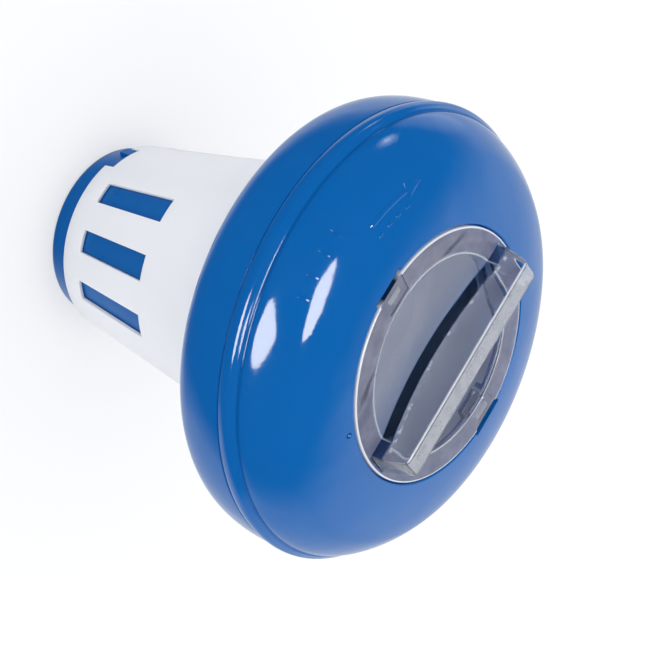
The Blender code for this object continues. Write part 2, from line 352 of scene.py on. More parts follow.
# ------------------------------------------------------------------- materials
class Tree:
    """A little help for building node trees."""

    def __init__(self, name):
        self.material = bpy.data.materials.new(name)
        self.material.use_nodes = True
        self.nt = self.material.node_tree
        self.shader = self.nt.nodes["Principled BSDF"]
        self.output = next(n for n in self.nt.nodes if n.type == "OUTPUT_MATERIAL")

    def node(self, kind, **values):
        made = self.nt.nodes.new(kind)
        for key, value in values.items():
            setattr(made, key, value)
        return made

    def link(self, a, b):
        self.nt.links.new(a, b)

    def coords(self):
        return self.node("ShaderNodeTexCoord").outputs["Object"]

    def noise(self, vector, scale, detail=3.0, rough=0.5):
        made = self.node("ShaderNodeTexNoise")
        made.inputs["Scale"].default_value = scale
        made.inputs["Detail"].default_value = detail
        made.inputs["Roughness"].default_value = rough
        self.link(vector, made.inputs["Vector"])
        return made.outputs["Fac"]

    def remap(self, value, a, b, c, d, clamp=True):
        made = self.node("ShaderNodeMapRange")
        made.clamp = clamp
        for key, v in zip(("From Min", "From Max", "To Min", "To Max"), (a, b, c, d)):
            made.inputs[key].default_value = v
        self.link(value, made.inputs["Value"])
        return made.outputs["Result"]

    def math(self, operation, a, b=None, c=None):
        made = self.node("ShaderNodeMath", operation=operation)
        for i, v in enumerate((a, b, c)):
            if v is None:
                continue
            if isinstance(v, (int, float)):
                made.inputs[i].default_value = v
            else:
                self.link(v, made.inputs[i])
        return made.outputs[0]

    def mix(self, share, a, b):
        made = self.node("ShaderNodeMix", data_type="RGBA")
        for socket, v in ((made.inputs[0], share), (made.inputs[6], a), (made.inputs[7], b)):
            if isinstance(v, (int, float)):
                socket.default_value = v
            elif isinstance(v, tuple):
                socket.default_value = (*v, 1.0)
            else:
                self.link(v, socket)
        return made.outputs[2]

    def bump(self, height, distance, strength=1.0, normal=None):
        made = self.node("ShaderNodeBump")
        made.inputs["Distance"].default_value = distance
        made.inputs["Strength"].default_value = strength
        self.link(height, made.inputs["Height"])
        if normal is not None:
            self.link(normal, made.inputs["Normal"])
        return made.outputs["Normal"]


def separate(t, vector):
    made = t.node("ShaderNodeSeparateXYZ")
    t.link(vector, made.inputs[0])
    return made.outputs


def polar(t, at):
    """Radius (m) and angle (degrees, -180 to 180) round the axis."""
    x, y, z = separate(t, at)
    r = t.math("SQRT", t.math("ADD", t.math("MULTIPLY", x, x), t.math("MULTIPLY", y, y)))
    a = t.math("MULTIPLY", t.math("ARCTAN2", y, x), 180.0 / math.pi)
    return r, a, z


def blue_plastic(name, base, deep, rough, orange_peel):
    """Glossy moulded polypropylene: even pigment, faint flow marks, soft waviness."""
    t = Tree(name)
    at = t.coords()
    cloud = t.noise(at, 22.0, 4.0, 0.6)
    t.link(t.mix(t.remap(cloud, 0.3, 0.7, 0.0, 1.0), deep, base), t.shader.inputs["Base Color"])
    fine = t.noise(at, 900.0, 2.0, 0.6)
    smear = t.noise(at, 60.0, 5.0, 0.65)
    rough_value = t.math(
        "ADD", t.remap(smear, 0.35, 0.75, rough - 0.025, rough + 0.045), t.remap(fine, 0.3, 0.7, -0.01, 0.015)
    )
    t.link(rough_value, t.shader.inputs["Roughness"])
    wave = t.noise(at, 38.0, 2.0, 0.4)
    n = t.bump(wave, 0.0006 * orange_peel)
    t.link(t.bump(fine, 0.000012 * orange_peel, 1.0, n), t.shader.inputs["Normal"])
    t.shader.inputs["IOR"].default_value = 1.5
    t.shader.inputs["Subsurface Weight"].default_value = 0.0
    return t


def white_plastic(name):
    t = Tree(name)
    at = t.coords()
    cloud = t.noise(at, 18.0, 4.0, 0.6)
    t.link(
        t.mix(t.remap(cloud, 0.3, 0.7, 0.0, 1.0), (0.885, 0.885, 0.895), (0.925, 0.925, 0.93)),
        t.shader.inputs["Base Color"],
    )
    fine = t.noise(at, 1400.0, 2.0, 0.6)
    smear = t.noise(at, 70.0, 4.0, 0.6)
    t.link(
        t.math("ADD", t.remap(smear, 0.3, 0.7, 0.33, 0.43), t.remap(fine, 0.3, 0.7, -0.03, 0.03)),
        t.shader.inputs["Roughness"],
    )
    n = t.bump(t.noise(at, 45.0, 2.0, 0.4), 0.0003)
    t.link(t.bump(fine, 0.00003, 1.0, n), t.shader.inputs["Normal"])
    t.shader.inputs["IOR"].default_value = 1.49
    return t


blue = blue_plastic("blue_float_gloss", (0.0018, 0.118, 0.40), (0.0015, 0.109, 0.38), 0.08, 1.0)
cup_blue = blue_plastic("blue_regulator_satin", (0.0012, 0.120, 0.405), (0.0008, 0.110, 0.385), 0.30, 1.4)
cup_blue.shader.inputs["Specular IOR Level"].default_value = 0.3
white = white_plastic("white_basket_satin")


def rubber():
    t = Tree("gasket_rubber")
    at = t.coords()
    cloud = t.noise(at, 60.0, 4.0, 0.6)
    t.link(
        t.mix(t.remap(cloud, 0.3, 0.7, 0.0, 1.0), (0.30, 0.32, 0.38), (0.36, 0.38, 0.44)),
        t.shader.inputs["Base Color"],
    )
    fine = t.noise(at, 1800.0, 2.0, 0.6)
    t.link(t.remap(fine, 0.3, 0.7, 0.5, 0.66), t.shader.inputs["Roughness"])
    t.link(t.bump(fine, 0.00004), t.shader.inputs["Normal"])
    return t


def clear_plastic():
    """Clear moulded polystyrene: polished bar sides, dulled top, rim and bar top. Painted light: pale painted
    highlights on the rim wall, dish step, bar crest and lug window walls; painted shade on the flange ring, with
    painted dark streaks of reflection, and in the lug gaps; a painted blue reflection at the foot of the bar; frosted
    flecks as painted highlights.
    """
    t = Tree("clear_lid_plastic")
    at = t.coords()
    r, angle, z = polar(t, at)
    along = separate(t, at)
    x, y = t.math("ABSOLUTE", along[0]), t.math("ABSOLUTE", along[1])
    wave = t.noise(at, 55.0, 2.0, 0.5)
    grain = t.noise(at, 700.0, 3.0, 0.6)
    smear = t.noise(at, 130.0, 4.0, 0.6)
    # depth below the dished top of the lid
    share = t.math("MINIMUM", t.math("DIVIDE", r, R_DISH * MM), 1.0)
    top = t.math("SUBTRACT", Z_LID_RING * MM, t.math("MULTIPLY", t.math("SUBTRACT", 1.0, t.math("MULTIPLY", share, share)), DISH_DEPTH * MM))
    on_top = t.remap(t.math("SUBTRACT", z, top), -0.9 * MM, -0.5 * MM, 0.0, 1.0)
    off_bar = t.remap(x, 4.7 * MM, 5.6 * MM, 0.0, 1.0)
    dull = t.math("MULTIPLY", on_top, off_bar)
    edge = t.math("MULTIPLY", t.remap(r, 44.85 * MM, 45.1 * MM, 0.0, 1.0), t.remap(z, 154.2 * MM, 154.8 * MM, 0.0, 1.0))
    ring = t.math("MULTIPLY", t.remap(r, 36.6 * MM, 37.2 * MM, 0.0, 1.0), t.remap(z, 155.6 * MM, 156.0 * MM, 0.0, 1.0))
    ring = t.math("MULTIPLY", ring, t.remap(z, 156.7 * MM, 156.8 * MM, 1.0, 0.0))
    ring = t.math("MULTIPLY", ring, t.remap(x, 5.3 * MM, 5.5 * MM, 0.0, 1.0))
    # two dark streaks where the skirt below throws back the dark side of the room
    streak = t.math("ABSOLUTE", t.math("SUBTRACT", t.math("ADD", along[0], t.math("MULTIPLY", y, 0.30)), 36.4 * MM))
    streak = t.math("ADD", streak, t.math("MULTIPLY", t.math("SUBTRACT", smear, 0.5), 1.6 * MM))
    streak = t.math("MULTIPLY", t.remap(streak, 0.4 * MM, 1.7 * MM, 1.0, 0.0), t.remap(y, 20.0 * MM, 25.0 * MM, 0.0, 1.0))
    streak = t.math("MULTIPLY", streak, t.remap(y, 31.0 * MM, 37.0 * MM, 1.0, 0.0))
    streak = t.math("MULTIPLY", t.math("MULTIPLY", streak, ring), 0.95)
    # the cut walls of the lug windows are dulled and painted pale: a painted highlight for the light on their edges
    cut = t.math("MULTIPLY", t.remap(y, 3.6 * MM, 3.7 * MM, 1.0, 0.0), t.remap(x, 39.6 * MM, 39.75 * MM, 0.0, 1.0))
    cut = t.math("MULTIPLY", cut, t.remap(x, 42.7 * MM, 42.85 * MM, 1.0, 0.0))
    cut = t.math("MULTIPLY", cut, t.math("MULTIPLY", t.remap(z, 155.95 * MM, 156.05 * MM, 1.0, 0.0), t.remap(z, 152.0 * MM, 153.0 * MM, 0.0, 1.0)))
    # the gap at the lugs is in shadow
    gap = t.math("MULTIPLY", t.remap(x, 43.9 * MM, 44.1 * MM, 0.0, 1.0), t.remap(r, 44.95 * MM, 45.15 * MM, 1.0, 0.0))
    gap = t.math("MULTIPLY", gap, t.remap(z, 155.95 * MM, 156.08 * MM, 1.0, 0.0))
    crest = t.remap(z, 169.2 * MM, 169.5 * MM, 0.0, 1.0)
    step = t.math("MULTIPLY", t.remap(t.math("ABSOLUTE", t.math("SUBTRACT", r, 36.35 * MM)), 0.2 * MM, 0.45 * MM, 1.0, 0.0), on_top)
    step = t.math("MULTIPLY", step, off_bar)
    # painted highlight: the rim wall, the step at the dish edge, the bar's crest and the lug window walls are painted
    # pale
    painted_highlight = t.math("MAXIMUM", t.math("MAXIMUM", edge, step), t.math("MAXIMUM", crest, cut))
    colour = t.mix(t.remap(wave, 0.3, 0.7, 0.0, 1.0), (0.735, 0.765, 0.835), (0.77, 0.795, 0.86))
    # painted reflection: the blue band seen through the foot of the bar is painted in as colour, bright blue inside the
    # dish and dark blue outside it
    foot = t.math("MULTIPLY", t.remap(x, 5.7 * MM, 6.2 * MM, 1.0, 0.0), t.remap(t.math("SUBTRACT", z, top), 3.6 * MM, 5.0 * MM, 1.0, 0.0))
    foot = t.math("MULTIPLY", foot, t.remap(along[0], 3.0 * MM, 4.0 * MM, 0.0, 1.0))
    foot = t.math("MULTIPLY", foot, t.remap(r, 43.0 * MM, 43.8 * MM, 1.0, 0.0))
    colour = t.mix(t.math("MULTIPLY", foot, on_top), colour, t.mix(t.remap(r, 35.6 * MM, 36.6 * MM, 0.0, 1.0), (0.12, 0.32, 0.86), (0.014, 0.045, 0.15)))
    # painted shade: the flange ring is painted a dark mauve-grey, standing in for the shaded chamber seen through it,
    # with the dark streaks mixed in
    ring_painted_shade = t.mix(t.remap(smear, 0.35, 0.65, 0.0, 1.0), (0.195, 0.205, 0.29), (0.26, 0.26, 0.345))
    ring_painted_shade = t.mix(streak, ring_painted_shade, (0.03, 0.045, 0.10))
    colour = t.mix(ring, colour, ring_painted_shade)
    colour = t.mix(gap, colour, (0.006, 0.02, 0.06))
    # the painted highlights go in as a pale near-white colour
    t.link(t.mix(painted_highlight, colour, (0.88, 0.90, 0.94)), t.shader.inputs["Base Color"])
    haze = t.math("MULTIPLY", dull, t.remap(grain, 0.3, 0.7, 0.02, 0.04))
    haze = t.math("MAXIMUM", haze, t.math("MULTIPLY", ring, t.remap(smear, 0.3, 0.7, 0.50, 0.62)))
    haze = t.math("MAXIMUM", haze, t.math("MULTIPLY", gap, 0.9))
    # the painted dark blue band outside the dish is made half opaque so that the painted reflection shows
    painted_band_outer = t.math("MULTIPLY", t.math("MULTIPLY", foot, on_top), t.remap(r, 35.6 * MM, 36.6 * MM, 0.0, 1.0))
    haze = t.math("MAXIMUM", haze, t.math("MULTIPLY", painted_band_outer, 0.48))
    ends = t.math("SUBTRACT", y, t.math("MULTIPLY", t.math("SUBTRACT", 167.4 * MM, z), 0.2218))
    ends = t.math("MULTIPLY", t.remap(ends, 41.1 * MM, 41.35 * MM, 0.0, 1.0), t.remap(z, 157.2 * MM, 158.0 * MM, 0.0, 1.0))
    line = t.remap(x, 4.0 * MM, 4.2 * MM, 0.0, 0.62)
    flat = t.math("MULTIPLY", t.remap(x, 3.45 * MM, 3.7 * MM, 1.0, 0.0), t.remap(smear, 0.3, 0.7, 0.24, 0.34))
    frost = t.math("MULTIPLY", crest, t.math("MAXIMUM", line, flat))
    frost = t.math("MAXIMUM", frost, t.math("MAXIMUM", t.math("MULTIPLY", edge, 0.85), t.math("MULTIPLY", step, 0.40)))
    frost = t.math("MAXIMUM", frost, t.math("MULTIPLY", ends, t.remap(smear, 0.3, 0.7, 0.16, 0.26)))
    frost = t.math("MAXIMUM", frost, t.math("MULTIPLY", cut, 0.55))
    # painted highlight: frosted flecks stand in for flecks of light along the top of the dark band at the bar's foot
    painted_glints = t.remap(t.noise(at, 420.0, 3.0, 0.65), 0.47, 0.58, 0.0, 1.0)
    painted_glints = t.math("MULTIPLY", painted_glints, t.remap(t.noise(at, 90.0, 2.0, 0.5), 0.40, 0.52, 0.0, 1.0))
    height = t.math("ABSOLUTE", t.math("SUBTRACT", t.math("SUBTRACT", z, top), 5.1 * MM))
    painted_glints = t.math("MULTIPLY", painted_glints, t.remap(height, 0.3 * MM, 1.4 * MM, 1.0, 0.0))
    painted_glints = t.math("MULTIPLY", painted_glints, t.remap(along[0], 3.0 * MM, 4.0 * MM, 0.0, 0.5))
    painted_glints = t.math("MULTIPLY", painted_glints, t.math("MULTIPLY", on_top, t.remap(r, 40.0 * MM, 41.0 * MM, 1.0, 0.0)))
    frost = t.math("MAXIMUM", frost, t.math("MULTIPLY", painted_glints, t.remap(x, 5.9 * MM, 6.1 * MM, 1.0, 0.0)))
    t.link(t.math("SUBTRACT", 1.0, t.math("MAXIMUM", haze, frost)), t.shader.inputs["Transmission Weight"])
    polish = t.remap(t.noise(at, 240.0, 4.0, 0.6), 0.35, 0.75, 0.012, 0.05)
    t.link(t.math("ADD", polish, t.math("MULTIPLY", painted_highlight, 0.22)), t.shader.inputs["Roughness"])
    n = t.bump(wave, 0.0003)
    t.link(t.bump(grain, 0.000004, 1.0, n), t.shader.inputs["Normal"])
    t.shader.inputs["IOR"].default_value = 1.5
    # lamps shine through it
    path = t.node("ShaderNodeLightPath")
    clear = t.node("ShaderNodeBsdfTransparent")
    clear.inputs["Color"].default_value = (0.58, 0.61, 0.68, 1.0)
    both = t.node("ShaderNodeMixShader")
    t.link(path.outputs["Is Shadow Ray"], both.inputs[0])
    t.link(t.shader.outputs[0], both.inputs[1])
    t.link(clear.outputs[0], both.inputs[2])
    t.link(both.outputs[0], t.output.inputs["Surface"])
    return t


gasket_mat = rubber()
clear_mat = clear_plastic()

# ------------------------------------------------------------- the upper shell
STEPS = 256


def dome_side():
    return bezier((79.75, 136.25), (79.4, 139.4), (74.2, 146.4), (R_SHOULDER, Z_SHOULDER), 22)


def dome_top():
    return bezier((R_SHOULDER, Z_SHOULDER), (64.4, 152.9), (57.0, 154.85), (R_CROWN, Z_CROWN - 0.07), 22)


def upper_shell():
    rim = [
        (81.7, Z_JOINT + 0.2),
        (82.3, 130.6),
        (82.5, 132.0),
        (82.3, 132.8),
        (80.4, 135.3),
        (79.6, 135.4),
        (79.5, 136.0),
    ]
    # finer version of the band's rounded edge
    rim = [(81.2, Z_JOINT + 0.06), (81.5, Z_JOINT + 0.16), (81.72, Z_JOINT + 0.42)]
    rim += bezier((81.9, 129.6), (82.35, 130.9), (82.75, 132.6), (81.7, 133.7), 9)
    rim += bezier((81.2, 134.25), (80.9, 134.7), (80.6, 135.2), (80.2, 135.35), 4)
    rim += [(79.9, 135.42), (79.62, 135.45), (79.5, 135.62), (79.5, 135.95)]
    side = dome_side()
    top = dome_top()
    lip = [(48.5, 156.14), (47.2, 156.30)]
    lip += bezier((46.8, 156.36), (46.5, 156.39), (R_RECESS, 156.2), (R_RECESS, 155.9), 6)
    lip += [(R_RECESS, 154.8)]
    lip += [(R_RECESS, 153.7), (R_RECESS - 0.12, 153.42), (R_RECESS - 0.4, Z_RECESS)]
    neck = [
        (R_REBATE + 0.2, Z_RECESS),
        (R_REBATE, Z_RECESS - 0.2),
        (R_REBATE, Z_REBATE),
        (R_NECK + 0.3, Z_REBATE),
        (R_NECK, Z_REBATE - 0.3),
        (R_NECK, Z_LEDGE_UNDER + 0.2),
        (R_NECK + 0.2, Z_LEDGE_UNDER),
    ]
    outer = rim + side + top[1:] + lip + neck
    well_out = R_WELL + 2.0
    z_end = Z_FLOAT_BOTTOM + 2.4
    under = [
        (R_WELL, Z_LEDGE_UNDER),
        (R_WELL, z_end),
        (well_out, z_end),
        (well_out, Z_CROWN - 2.3),
    ]
    skin = (side + top[1:])[1:-1]
    inner = []
    for i, (x, y) in enumerate(skin):
        ax, ay = skin[max(i - 1, 0)]
        bx, by = skin[min(i + 1, len(skin) - 1)]
        dx, dy = bx - ax, by - ay
        size = math.hypot(dx, dy)
        p = (x - dy / size * 2.0, y + dx / size * 2.0)
        if p[0] > well_out + 1.0:
            inner.append(p)
    skirt = [(77.6, 136.0), (79.6, 133.4), (79.6, Z_JOINT + 0.06)]
    loop = outer + under + inner[::-1] + skirt
    shell = turned("upper_float_shell_skin", loop[::-1], STEPS)

    def notches(bm):
        for deg in (0.0, 180.0):
            made = wedge(bm, deg, NOTCH_HALF, R_NECK - 4, R_NOTCH, Z_LEDGE_UNDER - 1, Z_CROWN + 2)
            edges = {e for v in made for e in v.link_edges if abs(e.verts[0].co.z - e.verts[1].co.z) > 0.002}
            outer_edges = [e for e in edges if e.verts[0].co.xy.length > (R_NECK + 2) * MM]
            bmesh.ops.bevel(
                bm, geom=outer_edges, offset=0.5 * MM, offset_type="OFFSET", segments=3, profile=0.5, affect="EDGES"
            )

    boolean(shell, tool("lug_entries", notches), "DIFFERENCE")

    def stops(bm):
        for deg in (0.0, 180.0):
            for at in (LUG_HALF + 3.4, -LOCK - LUG_HALF - 1.6):
                wedge(bm, deg + at, 1.2, R_NECK + 0.8, R_LUG, Z_LUG[0], Z_LEDGE_UNDER + 0.6)

    boolean(shell, tool("lug_stops", stops), "UNION")

    def dimple(bm):
        made = bmesh.ops.create_uvsphere(bm, u_segments=24, v_segments=16, radius=1.25 * MM)["verts"]
        around = math.radians(63.4)
        for v in made:
            v.co += Vector((49.3 * math.cos(around), 49.3 * math.sin(around), Z_CROWN + 0.35)) * MM

    boolean(shell, tool("gate_dimple", dimple), "DIFFERENCE")
    baked(shell)
    shade(shell, 38.0)
    shell.data.materials.clear()
    shell.data.materials.append(blue.material)
    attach(shell, "float")
    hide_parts("upper_float_shell")
    return shell


def on_dome(r, angle, lift):
    """The point at radius r and angle degrees on the dome, raised by lift mm."""
    profile = dome_side() + dome_top()[1:]
    for (r0, z0), (r1, z1) in zip(profile, profile[1:]):
        if r1 <= r <= r0:
            share = (r0 - r) / (r0 - r1)
            size = math.hypot(r1 - r0, z1 - z0)
            out, rise = (z1 - z0) / size, (r0 - r1) / size
            r, z = r + out * lift, z0 + (z1 - z0) * share + rise * lift
            a = math.radians(angle)
            return Vector((r * math.cos(a), r * math.sin(a), z)) * MM
    raise ValueError(r)


def rib(bm, stations, height, across=6, depth=0.4):
    """A low rounded rib on the dome through stations of (angle, inner and outer radius)."""
    upper, under = [], []
    for i, (angle, r0, r1) in enumerate(stations):
        ends = 0.0 if i in (0, len(stations) - 1) else 1.0
        upper.append([])
        under.append([])
        for k in range(across + 1):
            s = k / across
            r = r0 + (r1 - r0) * s
            lift = height * (1 - abs(2 * s - 1) ** 3) * ends - 0.03
            upper[-1].append(bm.verts.new(on_dome(r, angle, lift)))
            under[-1].append(bm.verts.new(on_dome(r, angle, -depth)))
    made = []
    for i in range(len(stations) - 1):
        for k in range(across):
            made.append(bm.faces.new((upper[i][k], upper[i][k + 1], upper[i + 1][k + 1], upper[i + 1][k])))
            made.append(bm.faces.new((under[i][k], under[i + 1][k], under[i + 1][k + 1], under[i][k + 1])))
        made.append(bm.faces.new((upper[i][0], upper[i + 1][0], under[i + 1][0], under[i][0])))
        made.append(bm.faces.new((upper[i][-1], under[i][-1], under[i + 1][-1], upper[i + 1][-1])))
    for i, flip in ((0, 1), (-1, -1)):
        for k in range(across):
            quad = (upper[i][k], under[i][k], under[i][k + 1], upper[i][k + 1])
            made.append(bm.faces.new(quad[::flip]))
    bmesh.ops.recalc_face_normals(bm, faces=made)


def turn_marks():
    """A plain raised arrow that shows which way the lid locks, and a row of ticks."""
    bm = bmesh.new()
    middle_r, half, head = 66.2, 0.85, 2.7
    shaft = [(-9.0 - 0.6 * i, middle_r - half, middle_r + half) for i in range(29)]
    tip = []
    for i in range(11):
        w = max(head * (1 - i / 10), 0.15)
        tip.append((-26.2 - 0.62 * i, middle_r - w, middle_r + w))
    rib(bm, shaft + tip, 0.32)
    for angle in (-10.0, -14.5, -19.0, -23.5):
        rib(bm, [(angle - 1.15 + 0.23 * i, 61.3, 62.5) for i in range(11)], 0.26)
    for angle in (17.0, 11.0, 4.5, -1.5):
        rib(bm, [(angle - 0.32 + 0.08 * i, 71.4, 74.6) for i in range(9)], 0.22)
    marks = new_object("turn_marks", bm)
    shade(marks, 50.0)
    marks.data.materials.append(blue.material)
    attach(marks, "float")
    return marks


def lower_shell():
    side = []
    for i in range(41):
        a = math.radians(90 * i / 40)
        side.append(
            (
                70.2 + 11.5 * max(math.cos(a), 0.0) ** 0.85,
                Z_JOINT - 0.2 - 23.7 * math.sin(a) ** 0.85,
            )
        )
    side[:1] = [(81.2, Z_JOINT - 0.06), (81.45, Z_JOINT - 0.14), (81.64, Z_JOINT - 0.36)]
    bottom = [(66.0, 104.62), (64.0, 104.3), (62.0, 104.22), (60.0, Z_FLOAT_BOTTOM)]
    mouth = R_CONE_TOP + 0.4
    lip = [(mouth + 0.3, Z_FLOAT_BOTTOM), (mouth, Z_FLOAT_BOTTOM + 0.3), (mouth, Z_FLOAT_BOTTOM + 2.0)]
    collar_in = R_WELL + 2.4
    collar = [
        (collar_in, Z_FLOAT_BOTTOM + 2.0),
        (collar_in, 116.0),
        (collar_in + 1.8, 116.0),
        (collar_in + 1.8, Z_FLOAT_BOTTOM + 2.2),
    ]
    inner = []
    for i in range(4, len(side) - 1):
        (ax, ay), (bx, by) = side[i - 1], side[i + 1]
        dx, dy = bx - ax, by - ay
        size = math.hypot(dx, dy)
        x, y = side[i]
        p = (x + dy / size * 2.0, y - dx / size * 2.0)
        if 60.0 < p[0] < 77.6 and p[1] < Z_JOINT - 3:
            inner.append(p)
    spigot = [(77.4, Z_JOINT - 2.0), (77.4, 132.6), (79.2, 132.6), (79.2, Z_JOINT - 0.06)]
    loop = side + bottom + lip + collar + [(62.0, Z_FLOAT_BOTTOM + 2.2)] + inner[::-1] + spigot
    shell = turned("lower_float_shell_skin", loop, STEPS)
    shade(shell, 38.0)
    shell.data.materials.append(blue.material)
    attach(shell, "float")
    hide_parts("lower_float_shell")
    return shell


# --------------------------------------------------------------------- basket
def in_window(deg, middles, half):
    return any(abs((deg - m + 180) % 360 - 180) < half for m in middles)


def basket():
    z_shoulder = Z_FLOAT_BOTTOM + 2.4
    outer = [
        (R_BASKET_TOP, Z_LEDGE_UNDER - 0.5),
        (R_BASKET_TOP, z_shoulder),
        (cone_radius(z_shoulder), z_shoulder),
        (R_CONE_TOP, Z_FLOAT_BOTTOM),
        (R_CONE_END, Z_CONE_END),
    ]
    inner = [
        (R_BASKET_TOP - BASKET_WALL, Z_LEDGE_UNDER - 0.5),
        (R_BASKET_TOP - BASKET_WALL, z_shoulder + 1.6),
        (cone_radius(z_shoulder) - CONE_WALL - 0.2, z_shoulder - 0.6),
        (cone_radius(z_shoulder - 2.0) - CONE_WALL, z_shoulder - 2.6),
        (R_CONE_END - CONE_WALL, Z_CONE_END),
    ]
    marks = (Z_SLOT_LOW, Z_SLOT_HIGH, Z_STOP_TOP)
    whole_out, whole_in = [], []
    for k in range(len(outer) - 1):
        part = levels(outer[k : k + 2], marks, 5.0)
        for p in part[:-1]:
            length = math.hypot(outer[k + 1][0] - outer[k][0], outer[k + 1][1] - outer[k][1])
            s = math.hypot(p[0] - outer[k][0], p[1] - outer[k][1]) / length
            r = inner[k][0] + (inner[k + 1][0] - inner[k][0]) * s
            z = inner[k][1] + (inner[k + 1][1] - inner[k][1]) * s
            if k == 3:  # the cone: level cuts through the wall
                z = p[1] if s > 0.02 else z
                r = cone_radius(z) - CONE_WALL
            whole_out.append(p)
            whole_in.append((r, z))
    whole_out.append(outer[-1])
    whole_in.append(inner[-1])
    edges = [m + s * SLOT_HALF for m in SLOTS for s in (-1, 1)]
    edges += [m + s * STOP_HALF for m in STOPS for s in (-1, 1)]

    def missing(z, deg):
        if Z_SLOT_LOW < z < Z_SLOT_HIGH and in_window(deg, SLOTS, SLOT_HALF):
            return True
        return z < Z_STOP_TOP and in_window(deg, STOPS, STOP_HALF)

    made = thick_sheet("chamber_basket_skin", whole_out, whole_in, columns_with(edges, 2.0), missing)
    soften(made, 0.22, 40.0, 2)
    made.data.materials.append(white.material)
    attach(made, "float")
    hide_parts("chamber_basket")
    return made


# ------------------------------------------------------------------------ cup
def cup():
    def wall(z):
        return cone_radius(z) - CONE_WALL - CUP_CLEAR

    outer = [(wall(Z_CUP_TOP), Z_CUP_TOP), (wall(2.2), 2.2)]
    inner = [(wall(Z_CUP_TOP) - CUP_WALL, Z_CUP_TOP), (wall(5.6) - CUP_WALL, 5.6)]
    marks = (Z_SLOT_LOW, Z_SLOT_HIGH)
    whole_out = levels(outer, marks, 5.0)
    whole_in = []
    for r, z in whole_out:
        s = (Z_CUP_TOP - z) / (Z_CUP_TOP - 2.2)
        zi = z if z > 8.0 else max(z, 5.6)
        whole_in.append((wall(zi) - CUP_WALL, zi))
    foot = bezier((wall(2.2), 2.2), (wall(0.9), 0.9), (wall(0) - 0.5, 0.0), (wall(0) - 1.5, 0.0), 8)[1:]
    foot_in = bezier(
        (wall(5.6) - CUP_WALL, 5.6), (wall(3.6) - CUP_WALL, 3.6), (wall(0) - 4.0, 2.8), (wall(0) - 6.0, 2.8), 8
    )[1:]
    whole_out += foot
    whole_in += foot_in
    under = [(24.4, 0.0), (24.0, 0.12), (23.5, 0.68), (23.1, 0.8), (16.0, 0.8), (8.0, 0.8), (0.0, 0.8)]
    for r, z in under:
        whole_out.append((r, z))
        whole_in.append((r, 2.8))
    edges = [m - TRAVEL + s * SLOT_HALF for m in SLOTS for s in (-1, 1)]

    def missing(z, deg):
        return Z_SLOT_LOW < z < Z_SLOT_HIGH and in_window(deg, [m - TRAVEL for m in SLOTS], SLOT_HALF)

    made = thick_sheet("regulator_cup_skin", whole_out, whole_in, columns_with(edges, 2.0), missing)

    def tabs(bm):
        for m in STOPS:
            wedge(bm, m - TRAVEL / 2, TAB_HALF, wall(11.0) - 1.0, R_CONE_END - 0.2, 8.4, Z_STOP_TOP - 0.5)

    boolean(made, tool("cup_tabs", tabs), "UNION")
    baked(made)
    soften(made, 0.2, 40.0, 2)
    made.data.materials.clear()
    made.data.materials.append(cup_blue.material)
    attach(made, "regulator")
    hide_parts("regulator_cup")
    return made


# --------------------------------------------------------------------- gasket
def gasket():
    low, high = 152.5, 153.4
    r0, r1 = 39.6, 41.8
    loop = rounded(
        [(r1, high), (r1, low), (r0, low), (r0, high), (r1, high)],
        {1: 0.4, 2: 0.4, 3: 0.4},
        4,
    )
    loop[0] = (r1 - 0.3, high)
    loop.insert(1, (r1 - 0.08, high - 0.1))
    loop.insert(2, (r1, high - 0.35))
    loop = loop[:-1]
    made = turned("lid_gasket_ring", loop, 192)
    shade(made, 50.0)
    made.data.materials.append(gasket_mat.material)
    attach(made, "gasket")
    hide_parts("lid_gasket")
    return made


